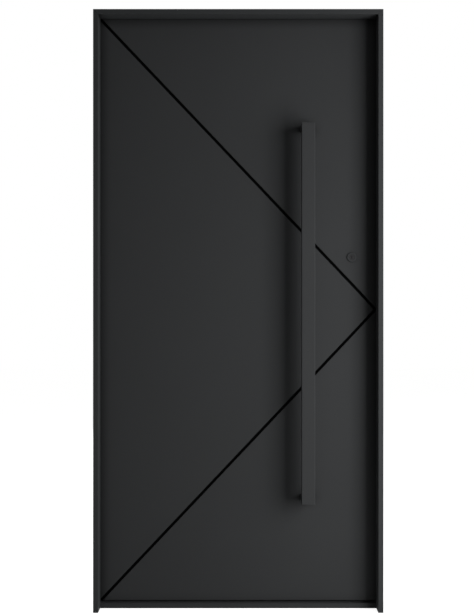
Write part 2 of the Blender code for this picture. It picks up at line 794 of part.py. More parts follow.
def build_bolts(stile, jamb):
    """Faceplate, latch and dead bolt in the leaf's edge, and the strike plate in the jamb."""
    middle_z = (lock_z + lever_z) / 2
    low_z, high_z = middle_z - FACEPLATE_LENGTH / 2, middle_z + FACEPLATE_LENGTH / 2
    low_y, high_y = edge_middle_y - FACEPLATE_WIDTH / 2, edge_middle_y + FACEPLATE_WIDTH / 2
    gap = SEAT_GAP
    plates = {}
    for name, near, far, carrier, on_leaf in (
        ("lock_faceplate", leaf_edge_x - FACEPLATE_THICKNESS, leaf_edge_x, stile, True),
        (
            "strike_plate",
            side_x - BACK_THICKNESS,
            side_x - BACK_THICKNESS + FACEPLATE_THICKNESS,
            jamb,
            False,
        ),
    ):
        mesh, centre = block(name, (near, low_y, low_z), (far, high_y, high_z))
        plates[name] = add_part(name, mesh, STEEL, centre, on_leaf=on_leaf)
        open_side = EDGE_GAP / 2
        low_x = near - gap if on_leaf else near - open_side
        high_x = far + open_side if on_leaf else far + gap
        mesh, centre = block(
            name + "_recess",
            (low_x, low_y - gap, low_z - gap),
            (high_x, high_y + gap, high_z + gap),
        )
        combine(carrier, add_cutter(name + "_recess", mesh, centre))

    bolts = (
        ("latch_bolt", lever_z, LATCH_WIDTH, LATCH_HEIGHT),
        ("dead_bolt", lock_z, DEAD_BOLT_WIDTH, DEAD_BOLT_HEIGHT),
    )
    for name, level, width, height in bolts:
        low = Vector((leaf_edge_x - BOLT_LENGTH, edge_middle_y - width / 2, level - height / 2))
        high = Vector((leaf_edge_x, edge_middle_y + width / 2, level + height / 2))
        mesh, centre = block(name, low, high)
        add_part(name, mesh, STEEL, centre, on_leaf=True)
        play = Vector((BOLT_CLEARANCE, BOLT_CLEARANCE, BOLT_CLEARANCE))
        mesh, centre = block(name + "_slot", low - play, high + play)
        slot = add_cutter(name + "_slot", mesh, centre)
        combine(stile, slot)
        combine(plates["lock_faceplate"], slot)
        keep_x = side_x - BACK_THICKNESS
        mesh, centre = block(
            name + "_keep",
            (keep_x - EDGE_GAP / 2, low.y - play.y, low.z - play.z),
            (keep_x + 2 * FACEPLATE_THICKNESS, high.y + play.y, high.z + play.z),
        )
        keep = add_cutter(name + "_keep", mesh, centre)
        combine(plates["strike_plate"], keep)
        combine(jamb, keep)


def build_lever():
    """A round bent lever on a round cover."""
    bore = LEVER_RADIUS + SEAT_GAP
    profile = cover_profile(LEVER_ROSETTE_RADIUS, bore, LEVER_ROSETTE_HEIGHT, ROSETTE_EDGE_RADIUS)
    add_part(
        "lever_rosette",
        turned("lever_rosette", profile),
        STEEL,
        (lock_x, back_y + SEAT_GAP, lever_z),
        INWARD,
        on_leaf=True,
    )
    axis_y = back_y + LEVER_REACH
    bend_points = []
    for step in range(LEVER_BEND_STEPS + 1):
        angle = math.pi / 2 * step / LEVER_BEND_STEPS
        bend_points.append(
            (
                lock_x - LEVER_BEND_RADIUS * (1 - math.cos(angle)),
                axis_y - LEVER_BEND_RADIUS * (1 - math.sin(angle)),
            )
        )
    path = [(lock_x, back_y + SEAT_GAP), *bend_points, (lock_x - LEVER_LENGTH, axis_y)]
    curve = bpy.data.curves.new("lever_handle", "CURVE")
    curve.dimensions = "3D"
    curve.bevel_depth = LEVER_RADIUS
    curve.bevel_resolution = 4
    curve.use_fill_caps = True
    spline = curve.splines.new("POLY")
    spline.points.add(len(path) - 1)
    for point, (x, y) in zip(spline.points, path):
        point.co = (x - lock_x, y - axis_y, 0, 1)
    add_part("lever_handle", curve, STEEL, (lock_x, axis_y, lever_z), on_leaf=True)


build_frame()
build_threshold()
leaf_pieces = build_leaf_frame()
tray_pieces = build_panels()
build_groove_channels()
build_hinges(
    leaf_pieces["leaf_stile_hinge"],
    bpy.data.objects["jamb_hinge_inner"],
    leaf_pieces["panel_inside"],
)
build_pull()
build_lock(tray_pieces["panel_upper"], leaf_pieces["leaf_core"], leaf_pieces["panel_inside"])
build_bolts(leaf_pieces["leaf_stile_lock"], bpy.data.objects["jamb_lock_inner"])
build_lever()
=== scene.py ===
"""The looks of an aluminium front door: frame, threshold and a leaf with a V-shaped groove.

Metres, +Z up. Seen from outside +X is right and +Y leads into the house. Sizes and places come
from the frame, and each section makes or dresses one group of pieces.
"""

import math

import bpy
from mathutils import Matrix, Vector


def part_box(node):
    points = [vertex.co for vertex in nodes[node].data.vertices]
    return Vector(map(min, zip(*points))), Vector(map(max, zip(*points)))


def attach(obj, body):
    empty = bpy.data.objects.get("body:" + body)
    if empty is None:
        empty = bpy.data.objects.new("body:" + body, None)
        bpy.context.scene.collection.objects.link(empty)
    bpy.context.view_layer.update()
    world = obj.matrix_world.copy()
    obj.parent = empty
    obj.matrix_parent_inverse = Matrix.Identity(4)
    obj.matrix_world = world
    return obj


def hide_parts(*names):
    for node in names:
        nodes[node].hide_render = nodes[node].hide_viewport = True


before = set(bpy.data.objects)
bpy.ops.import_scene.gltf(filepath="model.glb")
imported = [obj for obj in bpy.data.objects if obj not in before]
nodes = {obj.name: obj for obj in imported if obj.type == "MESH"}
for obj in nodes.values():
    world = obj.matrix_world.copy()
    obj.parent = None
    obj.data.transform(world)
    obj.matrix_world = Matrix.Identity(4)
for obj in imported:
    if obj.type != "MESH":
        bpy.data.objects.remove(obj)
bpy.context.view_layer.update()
scene = bpy.context.scene
scene.view_settings.view_transform = "Standard"


# The view: a 50 mm lens from about three metres, level with the middle of the leaf, square to it
# and a few millimetres left of its centre line.
CAMERA_PLACE = (-0.0043, -3.061, 1.0619)
LENS_MM = 50
camera_data = bpy.data.cameras.new("camera")
camera_data.lens = LENS_MM
camera = bpy.data.objects.new("camera", camera_data)
camera.location = CAMERA_PLACE
camera.rotation_euler = (math.pi / 2, 0, 0)
scene.collection.objects.link(camera)
scene.camera = camera


# The studio: a tall soft lamp to the right of the door, a weaker one further out that rakes its
# face, a third behind it for the inner side, a dim room that fills the shadows, and white
# wherever the camera looks past the object.
ROOM_LIGHT = 0.12
ROOM_IN_GLOSS = 0.3


def add_node(tree, kind, settings=None, links=None):
    """A node with its settings, which are properties or sockets, and with its sockets joined."""
    made = tree.nodes.new(kind)
    for name, value in (settings or {}).items():
        if isinstance(name, str) and hasattr(made, name):
            setattr(made, name, value)
        else:
            made.inputs[name].default_value = value
    for name, output in (links or {}).items():
        tree.links.new(output, made.inputs[name])
    return made


def linear(colour):
    """A colour written as sRGB hex, as linear RGBA."""
    channels = [int(colour[i : i + 2], 16) / 255 for i in (0, 2, 4)]
    return (*[c / 12.92 if c <= 0.04045 else ((c + 0.055) / 1.055) ** 2.4 for c in channels], 1)


def looking_rays(tree):
    """1 where the camera looks, straight or through glass, and 1 where a gloss mirrors."""
    ray = add_node(tree, "ShaderNodeLightPath").outputs
    seen = add_node(
        tree,
        "ShaderNodeMath",
        {"operation": "MAXIMUM"},
        {0: ray["Is Camera Ray"], 1: ray["Is Transmission Ray"]},
    )
    return seen.outputs[0], ray["Is Glossy Ray"]


world = bpy.data.worlds.new("pale_studio")
world.use_nodes = True
scene.world = world
tree = world.node_tree
seen, mirrored = looking_rays(tree)
room = add_node(
    tree,
    "ShaderNodeMath",
    {"operation": "MULTIPLY_ADD", 1: 1 - ROOM_LIGHT, 2: ROOM_LIGHT},
    {0: seen},
)
strength = add_node(
    tree,
    "ShaderNodeMath",
    {"operation": "MULTIPLY_ADD", 1: ROOM_IN_GLOSS - ROOM_LIGHT},
    {0: mirrored, 2: room.outputs[0]},
)
tree.nodes["Background"].inputs["Color"].default_value = (1, 1, 1, 1)
tree.links.new(strength.outputs[0], tree.nodes["Background"].inputs["Strength"])


def soft_lamp(name, place, aim, width, height, watts):
    """A rectangular soft box that faces the point it aims at."""
    data = bpy.data.lights.new(name, "AREA")
    data.shape = "RECTANGLE"
    data.size = width
    data.size_y = height
    data.energy = watts
    lamp = bpy.data.objects.new(name, data)
    lamp.location = place
    lamp.rotation_euler = (Vector(aim) - Vector(place)).to_track_quat("-Z", "Y").to_euler()
    lamp.visible_camera = False
    scene.collection.objects.link(lamp)


soft_lamp(
    "key_lamp", place=(1.457, -1.151, 1.08), aim=(0.1, 0.0, 1.06), width=0.8, height=2.06, watts=31
)
soft_lamp(
    "side_lamp", place=(2.9, -0.95, 1.3), aim=(0.0, 0.0, 1.05), width=1.6, height=2.0, watts=37
)
soft_lamp(
    "inner_side_lamp", place=(-2.6, 3.0, 1.7), aim=(0.0, 0.0, 1.0), width=3.0, height=3.0, watts=125
)


# The floor: a plain pale sheet. The camera and reflections see it nearly white, and the door's
# shadow still darkens it a little, because part of what they see is its real shading.
FLOOR_HALF = 12.0
FLOOR_COLOUR = "C4C4C2"
FLOOR_GLOW = 0.93
bpy.ops.object.select_all(action="DESELECT")
bpy.ops.mesh.primitive_plane_add(size=2 * FLOOR_HALF)
floor = bpy.context.object
floor.name = "floor"
paper = bpy.data.materials.new("pale_floor_sheet")
paper.use_nodes = True
tree = paper.node_tree
seen, mirrored = looking_rays(tree)
either = add_node(tree, "ShaderNodeMath", {"operation": "MAXIMUM"}, {0: seen, 1: mirrored})
glow = add_node(
    tree, "ShaderNodeMath", {"operation": "MULTIPLY", 1: FLOOR_GLOW}, {0: either.outputs[0]}
)
sheet_shader = tree.nodes["Principled BSDF"]
sheet_shader.inputs["Base Color"].default_value = linear(FLOOR_COLOUR)
sheet_shader.inputs["Roughness"].default_value = 1.0
sheet_shader.inputs["Specular IOR Level"].default_value = 0.0
sheet_shader.inputs["Emission Color"].default_value = (1, 1, 1, 1)
tree.links.new(glow.outputs[0], sheet_shader.inputs["Emission Strength"])
floor.data.materials.append(paper)


# The frame: extruded aluminium profiles, mitred at the upper corners, and two threshold rails.
# They are coated with a baked polyester powder, anthracite and matt, whose fine texture scatters
# the light so that the profiles show no sharp reflection.
ANTHRACITE = "3B3C3D"
THIN_ON_PROFILE = "383A3B"
COAT_CLOUD = 0.18
COAT_GLOSS_SWING = 0.04
COAT_RELIEF = 0.00006
# The grain of such a coat is about 0.2 mm; it is drawn at 0.7 mm so that close views show it
COAT_GRAIN = 0.0007
# Painted shade: inner corners are darkened by ambient occlusion within this reach
CORNER_REACH = 0.038
CORNER_SAMPLES = 8
# A colour Mix has its two colours at these inputs and its result at this output
MIX_A, MIX_B, MIX_RESULT = 6, 7, 2


def material_of(name, roughness, metallic=0.0, specular=0.5):
    """A named material with its even values set, its tree, its shader and the place it reads."""
    material = bpy.data.materials.new(name)
    material.use_nodes = True
    tree = material.node_tree
    shader = tree.nodes["Principled BSDF"]
    shader.inputs["Roughness"].default_value = roughness
    shader.inputs["Metallic"].default_value = metallic
    shader.inputs["Specular IOR Level"].default_value = specular
    place = add_node(tree, "ShaderNodeTexCoord").outputs["Object"]
    return material, tree, shader, place


def painted_corner_shade(tree, place, colour):
    """The colour darkened in inner corners by ambient occlusion, as painted shade."""
    corner = add_node(
        tree,
        "ShaderNodeAmbientOcclusion",
        {"Distance": CORNER_REACH, "samples": CORNER_SAMPLES},
        {"Color": colour},
    )
    height = add_node(tree, "ShaderNodeSeparateXYZ", None, {0: place}).outputs["Z"]
    # The painted shade fades out towards the floor, so that the floor does not darken the jambs'
    # feet
    clear_of_floor = add_node(
        tree, "ShaderNodeMapRange", {"From Max": CORNER_REACH}, {"Value": height}
    )
    toned = add_node(
        tree,
        "ShaderNodeMix",
        {"data_type": "RGBA"},
        {0: clear_of_floor.outputs[0], MIX_A: colour, MIX_B: corner.outputs["Color"]},
    )
    return toned.outputs[MIX_RESULT]


def powder_coat(name, thin_colour, roughness, specular, outside=True):
    """Baked powder: soft clouds where the film is thicker, and a fine even grain; on outside faces,
    painted shade in the inner corners.
    """
    material, tree, shader, place = material_of(name, roughness, specular=specular)
    clouds = add_node(
        tree, "ShaderNodeTexNoise", {"Scale": 1 / COAT_CLOUD, "Detail": 3.0}, {"Vector": place}
    )
    film = add_node(
        tree,
        "ShaderNodeMix",
        {"data_type": "RGBA", MIX_A: linear(ANTHRACITE), MIX_B: linear(thin_colour)},
        {0: clouds.outputs["Fac"]},
    ).outputs[MIX_RESULT]
    # Outside faces get the painted corner shade; rebate and inner faces don't
    coat = painted_corner_shade(tree, place, film) if outside else film
    tree.links.new(coat, shader.inputs["Base Color"])
    sheen = add_node(
        tree,
        "ShaderNodeMapRange",
        {"To Min": roughness - COAT_GLOSS_SWING, "To Max": roughness + COAT_GLOSS_SWING},
        {"Value": clouds.outputs["Fac"]},
    )
    tree.links.new(sheen.outputs[0], shader.inputs["Roughness"])
    texture = add_node(
        tree, "ShaderNodeTexNoise", {"Scale": 1 / COAT_GRAIN, "Detail": 2.0}, {"Vector": place}
    )
    relief = add_node(
        tree,
        "ShaderNodeBump",
        {"Strength": 0.25, "Distance": COAT_RELIEF},
        {"Height": texture.outputs["Fac"]},
    )
    tree.links.new(relief.outputs[0], shader.inputs["Normal"])
    return material


def dress(names, material):
    """Gives CAD nodes a material in place of the one they were packed with."""
    for name in names:
        for slot in nodes[name].material_slots:
            slot.material = material


frame_coat = powder_coat(
    "polyester_powder_coat_on_profile", THIN_ON_PROFILE, roughness=0.6, specular=0.06
)
dress(("jamb_hinge_outer", "jamb_lock_outer", "head_outer"), frame_coat)
rebate_coat = powder_coat(
    "polyester_powder_coat_in_rebate",
    THIN_ON_PROFILE,
    roughness=0.6,
    specular=0.06,
    outside=False,
)
dress(
    ("jamb_hinge_inner", "jamb_lock_inner", "head_inner", "threshold_outer", "threshold_inner"),
    rebate_coat,
)


# The seals: EPDM rubber, extruded, so fine lines run along it. The strip between the outer and
# the inner shells carries the lip that the leaf closes against, and the drop seal sits in the
# leaf's lower edge. Dull black, with a faint bloom that lightens it in patches.
BLOOM_PATCH = 0.0167
# The die's lines are about 0.1 mm wide; they are drawn 0.4 mm wide
DIE_LINE_WIDTH = 0.0004
DIE_LINE_LENGTH = 0.25
DIE_LINE_RELIEF = 0.00005


def sealing_rubber():
    """Dull black that greys in patches, with fine upright lines from the die."""
    material, tree, shader, place = material_of(
        "extruded_epdm_rubber", roughness=0.75, specular=0.15
    )
    bloom = add_node(
        tree, "ShaderNodeTexNoise", {"Scale": 1 / BLOOM_PATCH, "Detail": 3.0}, {"Vector": place}
    )
    tone = add_node(
        tree,
        "ShaderNodeMix",
        {"data_type": "RGBA", MIX_A: linear("0B0B0C"), MIX_B: linear("131314")},
        {0: bloom.outputs["Fac"]},
    )
    tree.links.new(tone.outputs[MIX_RESULT], shader.inputs["Base Color"])
    across = add_node(
        tree,
        "ShaderNodeMapping",
        {"Scale": (1 / DIE_LINE_WIDTH, 1 / DIE_LINE_WIDTH, 1 / DIE_LINE_LENGTH)},
        {"Vector": place},
    )
    lines = add_node(tree, "ShaderNodeTexNoise", {"Scale": 1.0}, {"Vector": across.outputs[0]})
    relief = add_node(
        tree,
        "ShaderNodeBump",
        {"Strength": 0.2, "Distance": DIE_LINE_RELIEF},
        {"Height": lines.outputs["Fac"]},
    )
    tree.links.new(relief.outputs[0], shader.inputs["Normal"])
    return material


dress(("seal_hinge_jamb", "seal_lock_jamb", "seal_head", "drop_seal"), sealing_rubber())


# The thermal breaks: glass-fibre filled polyamide, extruded black, between the two rails of the
# threshold and as a band round the leaf's edge. The short fibres show as paler flecks.
# The fibres are about 0.3 mm long; their flecks are drawn 1.5 mm apart so that they show
FLECK = 0.0015


def fibre_flecks(tree, place):
    """The colour of black polyamide with short glass fibres near its skin."""
    fibres = add_node(tree, "ShaderNodeTexVoronoi", {"Scale": 1 / FLECK}, {"Vector": place})
    near = add_node(
        tree,
        "ShaderNodeMapRange",
        {"From Min": 0.05, "From Max": 0.3, "To Min": 1.0, "To Max": 0.0},
        {"Value": fibres.outputs["Distance"]},
    )
    tone = add_node(
        tree,
        "ShaderNodeMix",
        {"data_type": "RGBA", MIX_A: linear("171718"), MIX_B: linear("26262A")},
        {0: near.outputs[0]},
    )
    return tone.outputs[MIX_RESULT]


def break_plastic():
    """Satin black plastic whose fibres speckle it."""
    material, tree, shader, place = material_of(
        "glass_filled_polyamide", roughness=0.6, specular=0.3
    )
    tree.links.new(fibre_flecks(tree, place), shader.inputs["Base Color"])
    return material


dress(("threshold_break",), break_plastic())


# The leaf's four edge profiles: coated aluminium with the polyamide break showing as a band half
# way through the thickness, level with its own surface. It only shows while the leaf is open.
BREAK_BAND = 0.024
BAND_EDGE = 0.0004
BAND_STEP = 0.0003
EDGE_CLOUD = 0.1667
leaf_front_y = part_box("panel_left")[0].y
leaf_back_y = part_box("panel_inside")[1].y


def edge_profile():
    """Matt anthracite with a speckled black band along the middle, a fine step to each side."""
    material, tree, shader, place = material_of(
        "coated_profile_with_break", roughness=0.58, specular=0.08
    )
    depth = add_node(tree, "ShaderNodeSeparateXYZ", None, {0: place}).outputs["Y"]
    middle = (leaf_front_y + leaf_back_y) / 2
    offset = add_node(tree, "ShaderNodeMath", {"operation": "SUBTRACT", 1: middle}, {0: depth})
    reach = add_node(tree, "ShaderNodeMath", {"operation": "ABSOLUTE"}, {0: offset.outputs[0]})
    inside_band = add_node(
        tree,
        "ShaderNodeMapRange",
        {
            "From Min": BREAK_BAND / 2 - BAND_EDGE,
            "From Max": BREAK_BAND / 2,
            "To Min": 1.0,
            "To Max": 0.0,
        },
        {"Value": reach.outputs[0]},
    ).outputs[0]
    clouds = add_node(
        tree, "ShaderNodeTexNoise", {"Scale": 1 / EDGE_CLOUD, "Detail": 3.0}, {"Vector": place}
    )
    coat = add_node(
        tree,
        "ShaderNodeMix",
        {"data_type": "RGBA", MIX_A: linear("393B3C"), MIX_B: linear("363839")},
        {0: clouds.outputs["Fac"]},
    )
    colour = add_node(
        tree,
        "ShaderNodeMix",
        {"data_type": "RGBA"},
        {0: inside_band, MIX_A: coat.outputs[MIX_RESULT], MIX_B: fibre_flecks(tree, place)},
    )
    tree.links.new(colour.outputs[MIX_RESULT], shader.inputs["Base Color"])
    step = add_node(
        tree,
        "ShaderNodeBump",
        {"Strength": 1.0, "Distance": BAND_STEP, "invert": True},
        {"Height": inside_band},
    )
    tree.links.new(step.outputs[0], shader.inputs["Normal"])
    return material


dress(
    ("leaf_stile_hinge", "leaf_stile_lock", "leaf_rail_top", "leaf_rail_bottom"), edge_profile()
)


# The core: rigid polyurethane foam that the sheets are glued to. It is closed in on every side,
# and its fine cells would only show in a cut.
CELL_RELIEF = 0.0002
# The cells are about 0.3 mm wide; they are drawn at 1.1 mm
FOAM_CELL = 0.0011


def core_foam():
    """Pale yellow, with each cell darker at its middle than at its walls."""
    material, tree, shader, place = material_of(
        "rigid_polyurethane_foam", roughness=0.9, specular=0.2
    )
    cells = add_node(tree, "ShaderNodeTexVoronoi", {"Scale": 1 / FOAM_CELL}, {"Vector": place})
    tone = add_node(
        tree,
        "ShaderNodeMix",
        {"data_type": "RGBA", MIX_A: linear("B8A573"), MIX_B: linear("D6C796")},
        {0: cells.outputs["Distance"]},
    )
    tree.links.new(tone.outputs[MIX_RESULT], shader.inputs["Base Color"])
    relief = add_node(
        tree,
        "ShaderNodeBump",
        {"Strength": 0.4, "Distance": CELL_RELIEF},
        {"Height": cells.outputs["Distance"]},
    )
    tree.links.new(relief.outputs[0], shader.inputs["Normal"])
    return material


dress(("leaf_core",), core_foam())


# The facings: aluminium sheet folded into three trays outside and one plain sheet inside, all
# coated with the frame's powder. Sheet takes the powder a little smoother than a profile does.
THIN_ON_SHEET = "393A3B"
sheet_coat = powder_coat(
    "polyester_powder_coat_on_sheet", THIN_ON_SHEET, roughness=0.58, specular=0.06
)
dress(("panel_left", "panel_upper", "panel_lower"), sheet_coat)
inner_sheet_coat = powder_coat(
    "polyester_powder_coat_on_inner_sheet",
    THIN_ON_SHEET,
    roughness=0.58,
    specular=0.06,
    outside=False,
)
dress(("panel_inside",), inner_sheet_coat)


# The groove's lining: U channels of thin aluminium, coated dead matt black so that the groove
# reads as a plain dark line from the street.
DUST_PATCH = 0.0111


def channel_black():
    """Black without sheen, greyed a little by dust."""
    material, tree, shader, place = material_of(
        "dead_matt_black_coat", roughness=0.9, specular=0.05
    )
    dust = add_node(
        tree, "ShaderNodeTexNoise", {"Scale": 1 / DUST_PATCH, "Detail": 4.0}, {"Vector": place}
    )
    tone = add_node(
        tree,
        "ShaderNodeMix",
        {"data_type": "RGBA", MIX_A: linear("030303"), MIX_B: linear("0A0A0A")},
        {0: dust.outputs["Fac"]},
    )
    tree.links.new(tone.outputs[MIX_RESULT], shader.inputs["Base Color"])
    return material


dress(("groove_channel_upper", "groove_channel_lower"), channel_black())


# The pull: a rectangular tube with welded end caps on two returns, in the leaf's colour but in a
# satin powder that hands can be wiped off. It catches a little more light than the leaf.
pull_coat = powder_coat(
    "satin_powder_coat_on_tube", THIN_ON_SHEET, roughness=0.5, specular=0.08
)
dress(
    (
        "pull_bar",
        "pull_bar_cap_top",
        "pull_bar_cap_bottom",
        "pull_standoff_top",
        "pull_standoff_bottom",
    ),
    pull_coat,
)


# The pull's grub screws: black oxide steel with a hexagon socket, one in each return, on the
# side that faces the hand gap, where only a low or a high view finds them.
GRUB_RADIUS = 0.0025
GRUB_RISE = 0.0002
GRUB_DEPTH = 0.001
GRUB_SOCKET = 0.0015
SCREW_EDGE = 0.0001
SCREW_SIDES = 32
SOCKET_SIDES = 6
SOCKET_FLOOR = 0.00005
LEVEL_FACE = 0.9
SOCKET_SHADE_PATCH = 0.0005
OIL_FILM = 0.00125
FACING_UP = Matrix.Identity(4)
FACING_DOWN = Matrix.Rotation(math.pi, 4, "X")
FACING_RIGHT = Matrix.Rotation(math.pi / 2, 4, "Y")
FACING_LEFT = Matrix.Rotation(-math.pi / 2, 4, "Y")


def settle(piece):
    """Puts a piece's place, turn and size into its mesh."""
    bpy.ops.object.select_all(action="DESELECT")
    piece.select_set(True)
    bpy.context.view_layer.objects.active = piece
    bpy.ops.object.transform_apply(location=True, rotation=True, scale=True)


def soften(piece, width, steps=2):
    """Rounds a piece's edges and applies it."""
    bpy.context.view_layer.objects.active = piece
    bevel = piece.modifiers.new("soft_edges", "BEVEL")
    bevel.width = width
    bevel.segments = steps
    bevel.limit_method = "ANGLE"
    bpy.ops.object.modifier_apply(modifier=bevel.name)


def cut_away(piece, cutter):
    """Takes the cutter's shape out of a piece and throws the cutter away."""
    bpy.context.view_layer.objects.active = piece
    cut = piece.modifiers.new("cut", "BOOLEAN")
    cut.operation = "DIFFERENCE"
    cut.solver = "EXACT"
    cut.object = cutter
    bpy.ops.object.modifier_apply(modifier=cut.name)
    bpy.data.objects.remove(cutter)


def smooth(piece):
    """Smooth shading, with edges sharper than 30 degrees kept."""
    bpy.ops.object.select_all(action="DESELECT")
    piece.select_set(True)
    bpy.context.view_layer.objects.active = piece
    bpy.ops.object.shade_smooth_by_angle(angle=math.radians(30))


def round_blank(name, radius, height, sides):
    """A short round bar that stands on the origin along +Z, turned to size."""
    bpy.ops.object.select_all(action="DESELECT")
    bpy.ops.mesh.primitive_cylinder_add(
        vertices=sides, radius=radius, depth=height, location=(0, 0, height / 2)
    )
    blank = bpy.context.object
    blank.name = name
    settle(blank)
    return blank


def socket_shade_black():
    """Near-black and dull, with uneven patches: painted shade for the floor of a screw socket,
    which is too shallow to shade itself.
    """
    material, tree, shader, place = material_of("painted_socket_shade", roughness=0.7, specular=0.2)
    shade_patches = add_node(
        tree, "ShaderNodeTexNoise", {"Scale": 1 / SOCKET_SHADE_PATCH, "Detail": 2.0}, {"Vector": place}
    )
    tone = add_node(
        tree,
        "ShaderNodeMix",
        {"data_type": "RGBA", MIX_A: linear("080808"), MIX_B: linear("121211")},
        {0: shade_patches.outputs["Fac"]},
    )
    tree.links.new(tone.outputs[MIX_RESULT], shader.inputs["Base Color"])
    return material


# Near-black painted shade for the floors of the screw sockets, which are too shallow to be dark
socket_shade = socket_shade_black()


def socket_screw(name, radius, rise, depth, socket_radius, metal):
    """A screw's visible end: a soft rim round a hexagon socket whose floor is painted near-black as
    shade.
    """
    head = round_blank(name, radius, rise + depth, SCREW_SIDES)
    head.data.transform(Matrix.Translation((0, 0, -depth)))
    soften(head, SCREW_EDGE)
    socket = round_blank(name + "_socket", socket_radius, rise, SOCKET_SIDES)
    socket.data.transform(Matrix.Translation((0, 0, SOCKET_FLOOR)))
    cut_away(head, socket)
    head.data.materials.clear()
    head.data.materials.append(metal)
    head.data.materials.append(socket_shade)
    # The socket's floor is the one level face below the rim, and it gets the painted shade
    for face in head.data.polygons:
        if face.normal.z > LEVEL_FACE and face.center.z < 2 * SOCKET_FLOOR:
            face.material_index = 1
    smooth(head)
    return head


def copies(model, name, places, turn, body):
    """Copies of a piece, each with its own mesh, turned and put in its place on a body."""
    for number, place in enumerate(places, 1):
        piece = model.copy()
        piece.data = model.data.copy()
        piece.name = f"{name}_{number}"
        piece.data.transform(Matrix.Translation(place) @ turn)
        scene.collection.objects.link(piece)
        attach(piece, body)


def black_oxide():
    """Blackened steel with a thin, uneven film of oil."""
    material, tree, shader, place = material_of(
        "black_oxide_steel", roughness=0.45, metallic=1.0
    )
    oil = add_node(
        tree, "ShaderNodeTexNoise", {"Scale": 1 / OIL_FILM, "Detail": 2.0}, {"Vector": place}
    )
    tone = add_node(
        tree,
        "ShaderNodeMix",
        {"data_type": "RGBA", MIX_A: linear("1E1E20"), MIX_B: linear("303033")},
        {0: oil.outputs["Fac"]},
    )
    tree.links.new(tone.outputs[MIX_RESULT], shader.inputs["Base Color"])
    return material


grub_screw = socket_screw(
    "grub_screw", GRUB_RADIUS, GRUB_RISE, GRUB_DEPTH, GRUB_SOCKET, black_oxide()
)
upper_low, upper_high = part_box("pull_standoff_top")
upper_middle = (upper_low + upper_high) / 2
copies(
    grub_screw,
    "pull_grub_screw_top",
    ((upper_middle.x, upper_middle.y, upper_low.z - GRUB_RISE),),
    FACING_DOWN,
    "leaf",
)
lower_low, lower_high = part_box("pull_standoff_bottom")
lower_middle = (lower_low + lower_high) / 2
copies(
    grub_screw,
    "pull_grub_screw_bottom",
    ((lower_middle.x, lower_middle.y, lower_high.z + GRUB_RISE),),
    FACING_UP,
    "leaf",
)


# The lock's covers: turned aluminium rings in the leaf's powder, one outside and one inside,
# round a brass cylinder that is plated with black nickel and polished on a lathe.
RING_RELIEF = 0.00003
# Lathe rings are about 0.1 mm apart; they are drawn 1.2 mm apart so that they show
RING_SPACING = 0.00118
# At scale 1 a wave texture has its rings this far apart
WAVE_SPACING = math.tau / 20
cover_coat = powder_coat(
    "powder_coat_on_turned_cover", THIN_ON_PROFILE, roughness=0.5, specular=0.08
)
dress(("lock_rosette_outside", "lock_rosette_inside"), cover_coat)


def black_nickel():
    """Dark grey polished metal with faint rings round the cylinder's middle."""
    material, tree, shader, place = material_of(
        "black_nickel_on_brass", roughness=0.3, metallic=1.0
    )
    low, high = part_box("lock_cylinder")
    middle = (low + high) / 2
    centred = add_node(
        tree, "ShaderNodeMapping", {"Location": (-middle.x, 0.0, -middle.z)}, {"Vector": place}
    )
    rings = add_node(
        tree,
        "ShaderNodeTexWave",
        {
            "wave_type": "RINGS",
            "rings_direction": "Y",
            "Scale": WAVE_SPACING / RING_SPACING,
            "Distortion": 0.5,
        },
        {"Vector": centred.outputs[0]},
    )
    tone = add_node(
        tree,
        "ShaderNodeMix",
        {"data_type": "RGBA", MIX_A: linear("414142"), MIX_B: linear("4C4C4D")},
        {0: rings.outputs["Fac"]},
    )
    tree.links.new(tone.outputs[MIX_RESULT], shader.inputs["Base Color"])
    relief = add_node(
        tree,
        "ShaderNodeBump",
        {"Strength": 0.15, "Distance": RING_RELIEF},
        {"Height": rings.outputs["Fac"]},
    )
    tree.links.new(relief.outputs[0], shader.inputs["Normal"])
    return material


dress(("lock_cylinder", "lock_plug"), black_nickel())


# The steel parts: lever, its cover, hinges, faceplate, strike plate and bolts, all stainless
# steel brushed along their length. The lines catch the light as a soft streak across them.
BRUSH_RELIEF = 0.00003
# Brush lines are about 0.05 mm wide and 20 mm long; they are drawn 0.35 mm wide
BRUSH_WIDTH = 0.00035
BRUSH_LENGTH = 0.02


def brushed_steel(name, along, colour="A3A3A0", dark_colour="8B8B88"):
    """Stainless steel whose brush lines run along one axis, 0 to 2 for X to Z."""
    material, tree, shader, place = material_of(name, roughness=0.38, metallic=1.0)
    stretch = [1 / BRUSH_WIDTH] * 3
    stretch[along] = 1 / BRUSH_LENGTH
    drawn = add_node(tree, "ShaderNodeMapping", {"Scale": stretch}, {"Vector": place})
    lines = add_node(
        tree, "ShaderNodeTexNoise", {"Scale": 1.0, "Detail": 2.0}, {"Vector": drawn.outputs[0]}
    )
    tone = add_node(
        tree,
        "ShaderNodeMix",
        {"data_type": "RGBA", MIX_A: linear(dark_colour), MIX_B: linear(colour)},
        {0: lines.outputs["Fac"]},
    )
    tree.links.new(tone.outputs[MIX_RESULT], shader.inputs["Base Color"])
    gloss = add_node(
        tree,
        "ShaderNodeMapRange",
        {"To Min": 0.32, "To Max": 0.46},
        {"Value": lines.outputs["Fac"]},
    )
    tree.links.new(gloss.outputs[0], shader.inputs["Roughness"])
    relief = add_node(
        tree,
        "ShaderNodeBump",
        {"Strength": 0.15, "Distance": BRUSH_RELIEF},
        {"Height": lines.outputs["Fac"]},
    )
    tree.links.new(relief.outputs[0], shader.inputs["Normal"])
    return material


steel_across = brushed_steel("stainless_steel_brushed_across", along=0)
steel_upright = brushed_steel("stainless_steel_brushed_upright", along=2)
dress(("lever_rosette",), steel_across)
dress(
    (
        "hinge_frame_lower",
        "hinge_frame_middle",
        "hinge_frame_upper",
        "hinge_leaf_lower",
        "hinge_leaf_middle",
        "hinge_leaf_upper",
        "strike_plate",
        "lock_faceplate",
        "latch_bolt",
        "dead_bolt",
    ),
    steel_upright,
)


